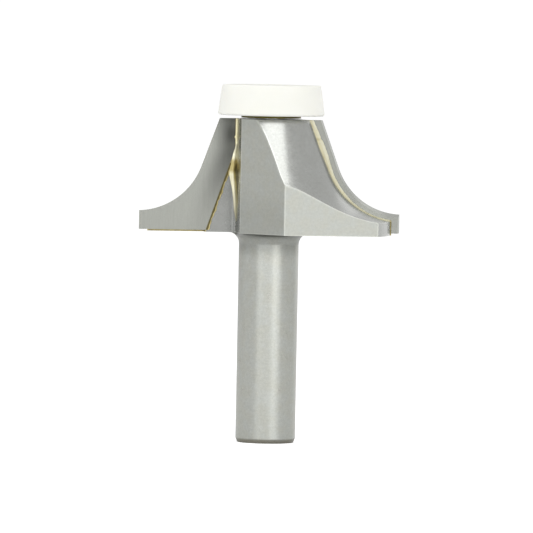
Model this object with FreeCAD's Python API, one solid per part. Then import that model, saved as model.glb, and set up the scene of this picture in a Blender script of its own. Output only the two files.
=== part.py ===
# Cove cutter for a hand router: a straight shank and a two-wing head in one piece of steel,
# two brazed carbide tips, and a guide ring that turns on a ball bearing above the head.
# Millimetres. +Z runs along the axis from the shank's end to the guide ring.
# Wing 2 lies towards +X and wing 1 is the same wing turned half a turn about the axis.
import FreeCAD, Part
import math
import os

V = FreeCAD.Vector
AXIS = V(0, 0, 1)
ORIGIN = V(0, 0, 0)

# Shank
SHANK_DIAMETER = 12.7
SHANK_LENGTH = 44.45
END_CHAMFER_WIDTH = 0.4
END_CHAMFER_HEIGHT = 0.9
NECK_FILLET = 2.3

# Shape that the cutter leaves in the work: a leaning wall that runs into a cove
TOP_EDGE_DIAMETER = 21.5
RIM_EDGE_HEIGHT = 4.4
COVE_RADIUS = 14.5
COVE_OVERRUN = 0.5
WALL_ANGLE = 20.0
HEAD_HEIGHT = 24.2

# Steel of the two wings
STEEL_SETBACK = 1.6
RIM_SETBACK = 1.9
BACK_FLAT_DISTANCE = 14.25
CORE_FLAT_DISTANCE = 8.4
CORE_FLAT_ANGLE = 41.5
FLUTE_WALL_DISTANCE = 6.9
FLUTE_CORNER_RADIUS = 1.0
RAKE_SETBACK = 2.0

# Carbide tips and the braze that holds them
TIP_THICKNESS = 2.45
TIP_RELIEF = 0.68
TIP_BOTTOM_STEP = 0.4
JOINT_STRAIGHT_LENGTH = 6.35
JOINT_LEAN = 19.1
CORNER_JOINT_WIDTH = 0.37
LEANING_JOINT_WIDTH = 0.12
BACK_JOINT_WIDTH = 0.08
BEAD_WIDTH = 0.4
BEAD_CREST_WIDTH = 0.02
CORNER_BEAD_CLIMB = 1.5
POOL_LENGTH = 5.7
POOL_CLIMB = 0.35

# Guide bearing, shielded, and its seat on the head
BEARING_BORE = 4.7625
BEARING_OUTER_DIAMETER = 12.7
BEARING_WIDTH = 4.978
BALL_SHARE = 0.6
BALL_COUNT = 7
BALL_CLEARANCE = 0.012
GROOVE_CONFORMITY = 0.52
LAND_SHARE = 0.65
CAGE_SHARE = 0.35
CAGE_FINGER_SHARE = 0.63
CAGE_SHIELD_GAP = 0.29
POCKET_CLEARANCE = 0.08
SHIELD_THICKNESS = 0.25
SHIELD_RECESS = 0.45
SHIELD_SEAT_WIDTH = 0.3
SHIELD_GAP = 0.15
CLAMP_MARGIN = 0.29
BOSS_HEIGHT = 0.25
STUB_CLEARANCE = 0.006
STUB_RECESS = 0.1

# Guide ring
RING_BOTTOM_DIAMETER = 22.8
RING_TOP_DIAMETER = 21.0
RING_GAP = 0.77
RING_LIP_THICKNESS = 2.04
RING_LIP_OVERLAP = 1.6
RING_BOTTOM_RADIUS = 0.5
RING_TOP_RADIUS = 0.25
RING_BORE_CHAMFER = 0.2

# Screw and washer that clamp the bearing's inner race
WASHER_THICKNESS = 0.3
WASHER_HOLE_CLEARANCE = 0.1
SCREW_DIAMETER = 3.175
SCREW_LENGTH = 6.35
SCREW_HEAD_DIAMETER = 6.0
SCREW_HEAD_HEIGHT = 1.6
SCREW_HEAD_EDGE = 0.35
SCREW_TIP_CHAMFER = 0.35
SOCKET_ACROSS_FLATS = 1.98
SOCKET_DEPTH = 0.95
THREAD_CLEARANCE = 0.0125
TAPPED_HOLE_SPARE = 1.5
DRILL_POINT_ANGLE = 59.0

# Radii and levels that follow from the sizes above
SHANK_RADIUS = SHANK_DIAMETER / 2
UNDERSIDE = SHANK_LENGTH
HEAD_TOP = UNDERSIDE + HEAD_HEIGHT
WALL_SLOPE = math.tan(math.radians(WALL_ANGLE))
WALL_SECANT = 1 / math.cos(math.radians(WALL_ANGLE))
COVE_CENTRE_Z = UNDERSIDE + RIM_EDGE_HEIGHT + math.sqrt(COVE_RADIUS ** 2 - COVE_OVERRUN ** 2)
WALL_X = TOP_EDGE_DIAMETER / 2 + (HEAD_TOP - COVE_CENTRE_Z) * WALL_SLOPE
COVE_CENTRE_X = WALL_X + COVE_RADIUS * WALL_SECANT
RIM_RADIUS = COVE_CENTRE_X - COVE_OVERRUN
STEEL_RIM_RADIUS = RIM_RADIUS - RIM_SETBACK
BEARING_BOTTOM = HEAD_TOP + BOSS_HEIGHT
BEARING_TOP = BEARING_BOTTOM + BEARING_WIDTH
BEARING_MIDDLE = BEARING_BOTTOM + BEARING_WIDTH / 2
PITCH_RADIUS = (BEARING_BORE + BEARING_OUTER_DIAMETER) / 4
BALL_RADIUS = BALL_SHARE * (BEARING_OUTER_DIAMETER - BEARING_BORE) / 4
INNER_LAND_RADIUS = PITCH_RADIUS - LAND_SHARE * BALL_RADIUS
OUTER_LAND_RADIUS = PITCH_RADIUS + LAND_SHARE * BALL_RADIUS
CLAMP_RADIUS = INNER_LAND_RADIUS - CLAMP_MARGIN
WASHER_TOP = BEARING_TOP + WASHER_THICKNESS
CUT_SPARE = 5.0

# Flats that draw the small and hidden rounds
ROUND_CHORD_COUNT = 2
DOME_CHORD_COUNT = 4
BALL_BAND_COUNT = 8
BALL_SIDE_COUNT = 12
GROOVE_SIDE_COUNT = 10


def revolved(edges):
    """Solid of revolution of a closed half outline in the XZ plane."""
    return Part.Face(Part.Wire(edges)).revolve(ORIGIN, AXIS, 360)


def line(start, end):
    """Straight edge between two points of the XZ plane."""
    return Part.LineSegment(V(start[0], 0, start[1]), V(end[0], 0, end[1])).toShape()


def path(points):
    """Straight edges through points of the XZ plane, one after another."""
    return [line(start, end) for start, end in zip(points, points[1:])]


def outline_solid(points):
    """Solid of revolution of a closed outline that has only straight sides."""
    return revolved(path(points + points[:1]))


def arc(centre, radius, start_angle, end_angle):
    """Arc in the XZ plane, with angles in radians from +X towards +Z."""
    def at(angle):
        return V(centre[0] + radius * math.cos(angle), 0, centre[1] + radius * math.sin(angle))
    middle = (start_angle + end_angle) / 2
    return Part.Arc(at(start_angle), at(middle), at(end_angle)).toShape()


def chords(centre, radius, start_angle, end_angle, count):
    """Points on an arc of a plane, evenly spaced, both ends included."""
    step = (end_angle - start_angle) / count
    angles = [start_angle + i * step for i in range(count + 1)]
    return [(centre[0] + radius * math.cos(a), centre[1] + radius * math.sin(a)) for a in angles]


def slab(low, high):
    """Box between two corners."""
    return Part.makeBox(high[0] - low[0], high[1] - low[1], high[2] - low[2], V(*low))


def prism(points, low, high):
    """Upright prism on a plan outline, between two heights."""
    corners = [V(x, y, low) for x, y in points]
    return Part.Face(Part.makePolygon(corners + corners[:1])).extrude(V(0, 0, high - low))


def plate(edges, front, back):
    """Plate whose outline lies in the XZ plane, between two values of Y."""
    face = Part.Face(Part.Wire(edges))
    face.translate(V(0, back, 0))
    return face.extrude(V(0, front - back, 0))


def half_turn(shape):
    """Copy of a wing's piece for the other wing."""
    copy = shape.copy()
    copy.rotate(ORIGIN, AXIS, 180)
    return copy


def flank(setback, rim_radius):
    """Flank edges from the rim up to the head's top, set back from the cutting edge.

    The cove is an arc about one centre and the wall is its tangent, so every setback is a
    parallel curve. Returns the edges, the rim's corner and the top corner.
    """
    radius = COVE_RADIUS + setback
    meet_angle = math.pi + math.radians(WALL_ANGLE)
    rim_angle = math.pi + math.acos((COVE_CENTRE_X - rim_radius) / radius)
    rim = (rim_radius, COVE_CENTRE_Z + radius * math.sin(rim_angle))
    meet_x = COVE_CENTRE_X + radius * math.cos(meet_angle)
    meet_z = COVE_CENTRE_Z + radius * math.sin(meet_angle)
    meet = (meet_x, meet_z)
    top = (meet_x - (HEAD_TOP - meet_z) * WALL_SLOPE, HEAD_TOP)
    cove = arc((COVE_CENTRE_X, COVE_CENTRE_Z), radius, rim_angle, meet_angle)
    return [cove, line(meet, top)], rim, top


# Head, shank and bearing stub

def head_blank(setback, rim_radius, lowest):
    """Turned head before its flutes are milled, from a given level up to its top."""
    flank_edges, rim, top = flank(setback, rim_radius)
    edges = [line((rim_radius, lowest), rim)]
    edges += flank_edges
    edges += path([top, (0, HEAD_TOP), (0, lowest), (rim_radius, lowest)])
    return revolved(edges)


def neck():
    """Round fillet that carries the head's underside into the shank."""
    low = UNDERSIDE - NECK_FILLET
    outer = SHANK_RADIUS + NECK_FILLET
    edges = [arc((outer, low), NECK_FILLET, math.pi, math.pi / 2)]
    edges += path([(outer, UNDERSIDE), (0, UNDERSIDE), (0, low), (SHANK_RADIUS, low)])
    return revolved(edges)


def wing_plan():
    """Plan of the milled head: back flat, core flat, flute wall and rake plane, twice."""
    angle = math.radians(CORE_FLAT_ANGLE)
    edge_x = (BACK_FLAT_DISTANCE * math.sin(angle) - CORE_FLAT_DISTANCE) / math.cos(angle)
    wall_y = (CORE_FLAT_DISTANCE - FLUTE_WALL_DISTANCE * math.cos(angle)) / math.sin(angle)
    reach = RIM_RADIUS + CUT_SPARE
    half = [
        (reach, -RAKE_SETBACK),
        (reach, -BACK_FLAT_DISTANCE),
        (edge_x, -BACK_FLAT_DISTANCE),
        (-FLUTE_WALL_DISTANCE, -wall_y),
        (-FLUTE_WALL_DISTANCE, RAKE_SETBACK),
    ]
    return half + [(-x, -y) for x, y in half]


def milled_prism():
    """Prism of the wing plan, with the cutter's radius in the corner of each flute."""
    block = prism(wing_plan(), UNDERSIDE - NECK_FILLET, HEAD_TOP)
    corners = []
    for edge in block.Edges:
        middle = edge.CenterOfMass
        for side in (1, -1):
            dx = abs(middle.x - side * FLUTE_WALL_DISTANCE)
            dy = abs(middle.y + side * RAKE_SETBACK)
            if max(dx, dy) < 1e-6:
                corners.append(edge)
    return block.makeFillet(FLUTE_CORNER_RADIUS, corners)


def joint_line(width, wall_x):
    """Inner edge of the tip, moved towards the axis by a joint's width on its leaning part.

    Returns the top, the corner where the edge starts to lean, and the bottom.
    """
    slope = math.tan(math.radians(JOINT_LEAN))
    tip_x = FLUTE_WALL_DISTANCE + CORNER_JOINT_WIDTH
    lean_top = HEAD_TOP - JOINT_STRAIGHT_LENGTH
    shift = width / math.cos(math.radians(JOINT_LEAN))
    bottom_z = UNDERSIDE + TIP_BOTTOM_STEP
    corner = (wall_x, lean_top - (wall_x - tip_x + shift) / slope)
    bottom = (tip_x - shift + (lean_top - bottom_z) * slope, bottom_z)
    return (wall_x, HEAD_TOP), corner, bottom


def tip_seat():
    """Space milled out of wing 2 for its tip, open to the flute, the flank and below."""
    slope = math.tan(math.radians(JOINT_LEAN))
    top, corner, bottom = joint_line(LEANING_JOINT_WIDTH, FLUTE_WALL_DISTANCE)
    reach = RIM_RADIUS + CUT_SPARE
    above = HEAD_TOP + CUT_SPARE
    below = UNDERSIDE - CUT_SPARE
    foot = (bottom[0] + (bottom[1] - below) * slope, below)
    points = [(top[0], above), corner, foot, (reach, below), (reach, above), (top[0], above)]
    floor = -RAKE_SETBACK - TIP_THICKNESS - BACK_JOINT_WIDTH
    return plate(path(points), CUT_SPARE, floor)


def tapped_hole():
    """Hole for the screw, with the drill's point at its end."""
    radius = SCREW_DIAMETER / 2 + THREAD_CLEARANCE
    bottom = WASHER_TOP - SCREW_LENGTH - TAPPED_HOLE_SPARE
    point = radius / math.tan(math.radians(DRILL_POINT_ANGLE))
    return outline_solid([(0, bottom - point), (radius, bottom), (radius, BEARING_TOP), (0, BEARING_TOP)])


def make_cutter_body():
    """Shank, neck, two-wing head, boss and bearing stub, all one piece of steel."""
    shank = outline_solid([
        (0, 0),
        (SHANK_RADIUS - END_CHAMFER_WIDTH, 0),
        (SHANK_RADIUS, END_CHAMFER_HEIGHT),
        (SHANK_RADIUS, UNDERSIDE),
        (0, UNDERSIDE),
    ])
    head = head_blank(STEEL_SETBACK, STEEL_RIM_RADIUS, UNDERSIDE).fuse(neck())
    head = head.common(milled_prism())
    seat = tip_seat()
    head = head.cut(seat).cut(half_turn(seat))
    stub_radius = BEARING_BORE / 2 - STUB_CLEARANCE
    stub = outline_solid([
        (0, UNDERSIDE),
        (stub_radius, UNDERSIDE),
        (stub_radius, BEARING_TOP - STUB_RECESS),
        (0, BEARING_TOP - STUB_RECESS),
    ])
    boss = Part.makeCylinder(CLAMP_RADIUS, BOSS_HEIGHT, V(0, 0, HEAD_TOP))
    return shank.fuse([head, boss, stub]).removeSplitter().cut(tapped_hole())


# Carbide tip of wing 2 and its braze

def tip_wire(setback, y):
    """Outline of the tip at one depth, with its cutting side set back for relief."""
    flank_edges, rim, top = flank(setback, RIM_RADIUS - setback)
    joint_top, corner, bottom = joint_line(0, FLUTE_WALL_DISTANCE + CORNER_JOINT_WIDTH)
    heel = (rim[0], bottom[1])
    edges = [line(heel, rim)] + flank_edges
    edges += path([top, joint_top, corner, bottom, heel])
    wire = Part.Wire(edges)
    wire.translate(V(0, y, 0))
    return wire


def make_carbide_tip():
    """Flat carbide plate, full size at its rake face and smaller at its back."""
    face = tip_wire(0, -RAKE_SETBACK)
    back = tip_wire(TIP_RELIEF, -RAKE_SETBACK - TIP_THICKNESS)
    return Part.makeLoft([face, back], True, True)


def bead_slice(spread, y):
    """Outline of the turned head, spread outwards, where a plane at one depth cuts it."""
    blank = head_blank(STEEL_SETBACK - spread, STEEL_RIM_RADIUS + spread, UNDERSIDE)
    return blank.slice(V(0, 1, 0), y)[0]


def back_bead():
    """Braze fillet between the steel's flank and the proud part of the tip's back."""
    back = -RAKE_SETBACK - TIP_THICKNESS
    foot = bead_slice(BEAD_WIDTH, back)
    crest = bead_slice(BEAD_CREST_WIDTH, back - BEAD_WIDTH)
    blank = head_blank(STEEL_SETBACK, STEEL_RIM_RADIUS, UNDERSIDE)
    side = slab((0, back - BEAD_WIDTH, UNDERSIDE), (RIM_RADIUS, back, HEAD_TOP))
    return Part.makeLoft([foot, crest], True, True).cut(blank).common(side)


def seat_braze():
    """Thin braze between the tip's back and inner edge and the steel of its seat."""
    blank = head_blank(STEEL_SETBACK, STEEL_RIM_RADIUS, UNDERSIDE)
    back = -RAKE_SETBACK - TIP_THICKNESS
    floor = slab((0, back - BACK_JOINT_WIDTH, UNDERSIDE), (RIM_RADIUS, back, HEAD_TOP))
    film = blank.common(floor).common(tip_seat())
    wall = joint_line(LEANING_JOINT_WIDTH, FLUTE_WALL_DISTANCE)
    edge = joint_line(0, FLUTE_WALL_DISTANCE + CORNER_JOINT_WIDTH)
    points = list(wall) + list(reversed(edge)) + [wall[0]]
    return film.fuse(plate(path(points), -RAKE_SETBACK, back))


def corner_section(z, width, climb):
    """Corner of braze at one height: across the rake face, and up the flute's wall."""
    root = V(FLUTE_WALL_DISTANCE, -RAKE_SETBACK, z)
    return Part.makePolygon([root, root + V(width, 0, 0), root + V(0, climb, 0), root])


def corner_braze():
    """Braze in the flute's corner, which spreads into a thin pool where the joint leans."""
    edge = joint_line(0, FLUTE_WALL_DISTANCE + CORNER_JOINT_WIDTH)
    slope = math.tan(math.radians(JOINT_LEAN))
    pool_z = edge[1][1] - POOL_LENGTH
    pool_width = CORNER_JOINT_WIDTH + POOL_LENGTH * slope
    upper = corner_section(HEAD_TOP, CORNER_JOINT_WIDTH, CORNER_BEAD_CLIMB)
    middle = corner_section(edge[1][1], CORNER_JOINT_WIDTH, CORNER_BEAD_CLIMB)
    lower = corner_section(pool_z, pool_width, POOL_CLIMB)
    return Part.makeLoft([upper, middle], True, True).fuse(Part.makeLoft([middle, lower], True, True))


def make_braze_seam(cutter_body, carbide_tip):
    """All the braze of one tip, clear of the steel and of the carbide."""
    seam = seat_braze().fuse([back_bead(), corner_braze()]).removeSplitter()
    return seam.cut(cutter_body).cut(carbide_tip)


# Guide bearing

def bearing_ring(bore_radius, outer_radius):
    """Plain ring as wide as the bearing."""
    return outline_solid([
        (bore_radius, BEARING_BOTTOM),
        (outer_radius, BEARING_BOTTOM),
        (outer_radius, BEARING_TOP),
        (bore_radius, BEARING_TOP),
    ])


def groove(side):
    """Ball track as a full ring; side is -1 for the inner race, 1 for the outer.

    Its section is a polygon whose sides touch the track's circle, one of them at its bottom.
    """
    radius = 2 * GROOVE_CONFORMITY * BALL_RADIUS
    centre = (PITCH_RADIUS + side * (BALL_RADIUS + BALL_CLEARANCE - radius), BEARING_MIDDLE)
    turn = math.pi / GROOVE_SIDE_COUNT
    corner_radius = radius / math.cos(turn)
    points = chords(centre, corner_radius, turn, turn + 2 * math.pi, GROOVE_SIDE_COUNT)
    return outline_solid(points[:-1])


def make_inner_race():
    return bearing_ring(BEARING_BORE / 2, INNER_LAND_RADIUS).cut(groove(-1))


def make_outer_race():
    """Outer race with its track, and a step at each end that holds a shield."""
    race = bearing_ring(OUTER_LAND_RADIUS, BEARING_OUTER_DIAMETER / 2).cut(groove(1))
    for level in (BEARING_BOTTOM, BEARING_TOP - SHIELD_RECESS):
        step = Part.makeCylinder(OUTER_LAND_RADIUS + SHIELD_SEAT_WIDTH, SHIELD_RECESS, V(0, 0, level))
        race = race.cut(step)
    return race


def make_shield(low):
    """Flat ring shield from its step in the outer race to just clear of the inner race."""
    outer = Part.makeCylinder(OUTER_LAND_RADIUS + SHIELD_SEAT_WIDTH, SHIELD_THICKNESS, V(0, 0, low))
    inner = Part.makeCylinder(INNER_LAND_RADIUS + SHIELD_GAP, SHIELD_THICKNESS, V(0, 0, low))
    return outer.cut(inner)


def ball_centres():
    """Centres of the balls, evenly spaced on the pitch circle."""
    step = 2 * math.pi / BALL_COUNT
    return [
        V(PITCH_RADIUS * math.cos(i * step), PITCH_RADIUS * math.sin(i * step), BEARING_MIDDLE)
        for i in range(BALL_COUNT)
    ]


def make_ball(centre):
    """Ball with flat facets, lofted from pole to pole, with its corners on the true sphere."""
    points = chords((0, 0), BALL_RADIUS, -math.pi / 2, math.pi / 2, BALL_BAND_COUNT)
    rings = [Part.Vertex(V(0, 0, -BALL_RADIUS))]
    for radius, height in points[1:-1]:
        corners = chords((0, 0), radius, 0, 2 * math.pi, BALL_SIDE_COUNT)
        rings.append(Part.makePolygon([V(x, y, height) for x, y in corners[:-1]] + [V(radius, 0, height)]))
    rings.append(Part.Vertex(V(0, 0, BALL_RADIUS)))
    ball = Part.makeLoft(rings, True, True)
    ball.translate(centre)
    return ball


def make_ball_cage():
    """Crown cage: a ring with a round pocket for each ball, open past the ball's middle."""
    pocket_radius = BALL_RADIUS + POCKET_CLEARANCE
    half_thickness = CAGE_SHARE * BALL_RADIUS
    bottom = BEARING_BOTTOM + SHIELD_RECESS + CAGE_SHIELD_GAP
    top = BEARING_MIDDLE + CAGE_FINGER_SHARE * BALL_RADIUS
    cage = outline_solid([
        (PITCH_RADIUS - half_thickness, bottom),
        (PITCH_RADIUS + half_thickness, bottom),
        (PITCH_RADIUS + half_thickness, top),
        (PITCH_RADIUS - half_thickness, top),
    ])
    for centre in ball_centres():
        outwards = V(centre.x, centre.y, 0)
        pocket = Part.makeCylinder(pocket_radius, PITCH_RADIUS, centre - outwards / 2, outwards)
        cage = cage.cut(pocket)
    return cage


# Guide ring

def make_guide_ring():
    """Tapered ring, bored from below for the outer race, with a lip over the race's top."""
    bottom = HEAD_TOP + RING_GAP
    top = BEARING_TOP + RING_LIP_THICKNESS
    seat_radius = BEARING_OUTER_DIAMETER / 2
    bottom_radius = RING_BOTTOM_DIAMETER / 2
    top_radius = RING_TOP_DIAMETER / 2
    taper = math.atan((bottom_radius - top_radius) / (top - bottom))
    bottom_round_x = bottom_radius - RING_BOTTOM_RADIUS * (1 + math.sin(taper)) / math.cos(taper)
    top_round_x = top_radius - RING_TOP_RADIUS * (1 - math.sin(taper)) / math.cos(taper)
    bottom_centre = (bottom_round_x, bottom + RING_BOTTOM_RADIUS)
    top_centre = (top_round_x, top - RING_TOP_RADIUS)
    outline = [(0, bottom)]
    outline += chords(bottom_centre, RING_BOTTOM_RADIUS, -math.pi / 2, taper, ROUND_CHORD_COUNT)
    outline += chords(top_centre, RING_TOP_RADIUS, taper, math.pi / 2, ROUND_CHORD_COUNT)
    body = outline_solid(outline + [(0, top)])
    seat = outline_solid([
        (0, bottom),
        (seat_radius + RING_BORE_CHAMFER, bottom),
        (seat_radius, bottom + RING_BORE_CHAMFER),
        (seat_radius, BEARING_TOP),
        (0, BEARING_TOP),
    ])
    mouth_radius = seat_radius - RING_LIP_OVERLAP
    mouth = outline_solid([
        (0, BEARING_TOP),
        (mouth_radius, BEARING_TOP),
        (mouth_radius, top - RING_BORE_CHAMFER),
        (mouth_radius + RING_BORE_CHAMFER, top),
        (0, top),
    ])
    return body.cut(seat).cut(mouth)


# Screw and washer

def make_retaining_washer():
    outer = Part.makeCylinder(CLAMP_RADIUS, WASHER_THICKNESS, V(0, 0, BEARING_TOP))
    hole_radius = SCREW_DIAMETER / 2 + WASHER_HOLE_CLEARANCE
    return outer.cut(Part.makeCylinder(hole_radius, WASHER_THICKNESS, V(0, 0, BEARING_TOP)))


def make_retaining_screw():
    """Button-head screw with a hexagon socket; its thread is left smooth."""
    radius = SCREW_DIAMETER / 2
    head_radius = SCREW_HEAD_DIAMETER / 2
    head_top = WASHER_TOP + SCREW_HEAD_HEIGHT
    tip = WASHER_TOP - SCREW_LENGTH
    dome_height = SCREW_HEAD_HEIGHT - SCREW_HEAD_EDGE
    dome_radius = (head_radius ** 2 + dome_height ** 2) / (2 * dome_height)
    rim_angle = math.asin(1 - dome_height / dome_radius)
    dome = chords((0, head_top - dome_radius), dome_radius, rim_angle, math.pi / 2, DOME_CHORD_COUNT)
    shape = outline_solid(dome + [
        (0, tip),
        (radius - SCREW_TIP_CHAMFER, tip),
        (radius, tip + SCREW_TIP_CHAMFER),
        (radius, WASHER_TOP),
        (head_radius, WASHER_TOP),
    ])
    corner_radius = SOCKET_ACROSS_FLATS / (2 * math.cos(math.pi / 6))
    corners = [
        (corner_radius * math.cos(i * math.pi / 3), corner_radius * math.sin(i * math.pi / 3))
        for i in range(6)
    ]
    socket = prism(corners, head_top - SOCKET_DEPTH, head_top + CUT_SPARE)
    return shape.cut(socket)


# All pieces, one file each

def make_parts():
    """Every piece by its name."""
    parts = {"cutter_body": make_cutter_body()}
    carbide_tip = make_carbide_tip()
    parts["carbide_tip_1"] = half_turn(carbide_tip)
    parts["carbide_tip_2"] = carbide_tip
    braze_seam = make_braze_seam(parts["cutter_body"], carbide_tip)
    parts["braze_seam_1"] = half_turn(braze_seam)
    parts["braze_seam_2"] = braze_seam
    parts["bearing_inner_race"] = make_inner_race()
    parts["bearing_outer_race"] = make_outer_race()
    parts["bearing_shield_lower"] = make_shield(BEARING_BOTTOM + SHIELD_RECESS - SHIELD_THICKNESS)
    parts["bearing_shield_upper"] = make_shield(BEARING_TOP - SHIELD_RECESS)
    parts["ball_cage"] = make_ball_cage()
    for number, centre in enumerate(ball_centres(), 1):
        parts["bearing_ball_%d" % number] = make_ball(centre)
    parts["guide_ring"] = make_guide_ring()
    parts["retaining_washer"] = make_retaining_washer()
    parts["retaining_screw"] = make_retaining_screw()
    return parts


os.makedirs("parts", exist_ok=True)
for name, shape in make_parts().items():
    shape.exportStep("parts/%s.step" % name)
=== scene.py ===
import math

import bpy
import numpy as np
from mathutils import Matrix, Vector


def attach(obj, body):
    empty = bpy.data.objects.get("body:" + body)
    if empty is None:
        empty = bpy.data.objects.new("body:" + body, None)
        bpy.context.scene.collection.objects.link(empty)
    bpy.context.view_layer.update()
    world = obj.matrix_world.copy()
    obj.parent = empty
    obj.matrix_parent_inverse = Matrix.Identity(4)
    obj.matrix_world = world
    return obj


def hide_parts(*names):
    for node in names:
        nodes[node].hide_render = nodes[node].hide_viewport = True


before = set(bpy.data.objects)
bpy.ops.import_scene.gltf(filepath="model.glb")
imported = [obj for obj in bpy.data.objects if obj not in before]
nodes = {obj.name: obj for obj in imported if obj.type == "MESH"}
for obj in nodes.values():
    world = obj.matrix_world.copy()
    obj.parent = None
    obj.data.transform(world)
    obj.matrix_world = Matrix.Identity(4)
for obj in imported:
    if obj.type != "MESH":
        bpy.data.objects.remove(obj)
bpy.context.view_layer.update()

scene = bpy.context.scene
scene.view_settings.view_transform = "Standard"

# Camera
# Long lens a metre and a half away, a little above the head, turned seven degrees to the left of
# the flats and rolled one degree, as the bit leans in the picture. Lengths are in millimetres.

MM = 0.001
CAMERA_DISTANCE = 1468.8
CAMERA_HEIGHT = 99.57
CAMERA_AZIMUTH = math.radians(-7.184)
CAMERA_PITCH = math.radians(2.427)
CAMERA_ROLL = math.radians(1.094)
CAMERA_YAW = math.radians(0.0156)
SENSOR_WIDTH = 36
LENS_LENGTH = 467.4
VIEW_REACH = 100000

camera_data = bpy.data.cameras.new("camera")
camera_data.sensor_width = SENSOR_WIDTH
camera_data.lens = LENS_LENGTH
camera_data.clip_end = VIEW_REACH * MM
camera = bpy.data.objects.new("camera", camera_data)
scene.collection.objects.link(camera)
scene.camera = camera

aim = CAMERA_AZIMUTH + CAMERA_YAW
flat_share = math.cos(CAMERA_PITCH)
forward = Vector((-math.sin(aim) * flat_share, math.cos(aim) * flat_share, -math.sin(CAMERA_PITCH)))
level_right = Vector((math.cos(aim), math.sin(aim), 0))
level_up = level_right.cross(forward)
right = level_right * math.cos(CAMERA_ROLL) + level_up * math.sin(CAMERA_ROLL)
up = level_up * math.cos(CAMERA_ROLL) - level_right * math.sin(CAMERA_ROLL)
camera.matrix_world = Matrix((
    (right.x, up.x, -forward.x, CAMERA_DISTANCE * math.sin(CAMERA_AZIMUTH) * MM),
    (right.y, up.y, -forward.y, -CAMERA_DISTANCE * math.cos(CAMERA_AZIMUTH) * MM),
    (right.z, up.z, -forward.z, CAMERA_HEIGHT * MM),
    (0, 0, 0, 1),
))


# Studio
# A white room: soft boxes in front, above, behind and at both sides, a surround that the camera
# and the metal see as white, and a wide white floor.

WHITE = (1, 1, 1, 1)
LIT_POINT = Vector((0, 0, 45)) * MM
ROOM_LIGHT = 0.58
ROOM_DIM_IN_METAL = 0.18
FLOOR_REACH = 40000
FLOOR_DROP = 0.02
FLOOR_WHITE = (0.92, 0.92, 0.92, 1)
FLOOR_LIFT = 0.50

# name, azimuth from the camera's side, elevation, distance, width, height, brightness of the face
SOFT_BOXES = (
    ("front_top_box", 8, 45, 900, 760, 520, 1.7),
    ("left_box", -31, 3, 900, 320, 500, 1.0),
    ("right_box", 33, 3, 900, 460, 500, 1.25),
    ("front_box", 6, 2, 1200, 1200, 700, 0.78),
    ("back_box", 150, -2, 1000, 800, 300, 0.6),
    ("backdrop_box", 156, 26, 1000, 280, 220, 0.4),
    ("ceiling_box", 0, 88, 900, 900, 500, 0.6),
    ("left_fill", -88, 20, 1000, 600, 800, 1.75),
    ("right_fill", 88, 20, 1000, 600, 800, 0.80),
)
for name, azimuth, elevation, distance, width, height, brightness in SOFT_BOXES:
    lamp_data = bpy.data.lights.new(name, "AREA")
    lamp_data.shape = "RECTANGLE"
    lamp_data.size = width * MM
    lamp_data.size_y = height * MM
    # a face as bright as the white of the room gives pi watts for each square metre
    lamp_data.energy = brightness * lamp_data.size * lamp_data.size_y * math.pi
    lamp = bpy.data.objects.new(name, lamp_data)
    lamp.visible_glossy = not name.endswith("fill")
    scene.collection.objects.link(lamp)
    heading = CAMERA_AZIMUTH + math.radians(azimuth)
    rise = math.radians(elevation)
    level = math.cos(rise)
    way = Vector((math.sin(heading) * level, -math.cos(heading) * level, math.sin(rise)))
    lamp.location = LIT_POINT + distance * MM * way
    lamp.rotation_euler = way.to_track_quat("Z", "Y").to_euler()


class Wires:
    """Node tree of a world, material or group, with short ways to add the nodes used here."""

    def __init__(self, tree):
        self.tree = tree

    def put(self, target, value):
        """Joins a socket to a target, or writes a number or colour into it."""
        if isinstance(value, bpy.types.NodeSocket):
            self.tree.links.new(value, target)
        else:
            target.default_value = value

    def node(self, kind, **values):
        """One node with its inputs filled by name, an underscore standing for a space."""
        node = self.tree.nodes.new(kind)
        for name, value in values.items():
            self.put(node.inputs[name.replace("_", " ")], value)
        return node

    def in_order(self, node, *values):
        """The same node with its inputs filled in their order."""
        for socket, value in zip(node.inputs, values):
            self.put(socket, value)
        return node

    def math(self, operation, *values):
        """One step of arithmetic."""
        node = self.tree.nodes.new("ShaderNodeMath")
        node.operation = operation
        return self.in_order(node, *values).outputs[0]

    def plus(self, a, b):
        """Sum of two numbers."""
        return self.math("ADD", a, b)

    def less(self, a, b):
        """First number less the second."""
        return self.math("SUBTRACT", a, b)

    def times(self, first, *others):
        """Product of two or more numbers."""
        for other in others:
            first = self.math("MULTIPLY", first, other)
        return first

    def most(self, a, b):
        """Larger of two numbers."""
        return self.math("MAXIMUM", a, b)

    def least(self, a, b):
        """Smaller of two numbers."""
        return self.math("MINIMUM", a, b)

    def size(self, a):
        """Number without its sign."""
        return self.math("ABSOLUTE", a)

    def line(self, value, slope, start):
        """Start plus slope times the value."""
        return self.math("MULTIPLY_ADD", value, slope, start)


world = bpy.data.worlds.new("white_room")
scene.world = world
world.use_nodes = True
world.node_tree.nodes.clear()
w = Wires(world.node_tree)
ray = w.node("ShaderNodeLightPath").outputs
seen = w.most(w.most(ray["Is Camera Ray"], ray["Is Glossy Ray"]), ray["Is Transmission Ray"])
seen_strength = w.line(ray["Is Glossy Ray"], -ROOM_DIM_IN_METAL, 1.0)
room_seen = w.node("ShaderNodeBackground", Color=WHITE, Strength=seen_strength)
room_light = w.node("ShaderNodeBackground", Color=WHITE, Strength=ROOM_LIGHT)
room = w.in_order(w.node("ShaderNodeMixShader"), seen, room_light.outputs[0], room_seen.outputs[0])
w.node("ShaderNodeOutputWorld", Surface=room.outputs[0])

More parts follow.
